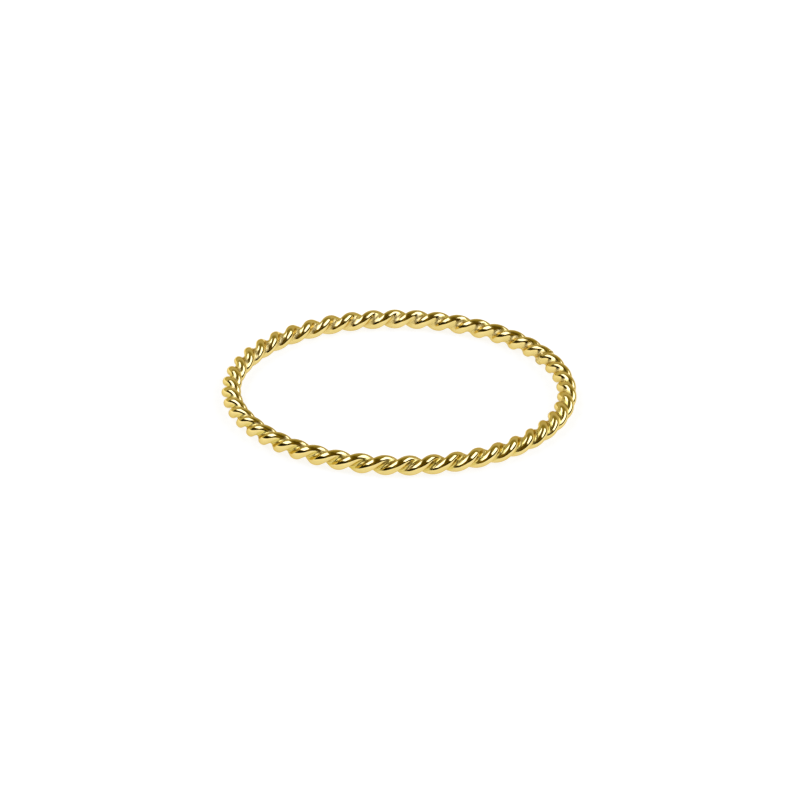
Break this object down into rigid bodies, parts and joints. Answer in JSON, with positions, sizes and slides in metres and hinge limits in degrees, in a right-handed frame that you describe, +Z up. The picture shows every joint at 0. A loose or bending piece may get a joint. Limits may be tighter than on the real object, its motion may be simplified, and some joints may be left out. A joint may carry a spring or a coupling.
{
  "type": "pinky ring",
  "caption": "Slim pinky ring of polished gold wires twisted round each other like a rope and closed into a full circle, with an open finger hole.",
  "frame": {"origin": "centre of the finger hole, on the surface that the ring rests on when it lies on its side", "axes": "+Z up along the axis of the finger hole; -Y towards the side of the ring that is nearest in the picture; +X to the right"},
  "size_m": [0.0176, 0.0176, 0.001],
  "materials": {
    "polished_gold": "polished yellow gold, mirror bright on the crests, with fine drawing marks in the grooves of the twist"
  },
  "bodies": {
    "root": {"wire_a": "polished_gold", "wire_b": "polished_gold"}
  },
  "joints": []
}
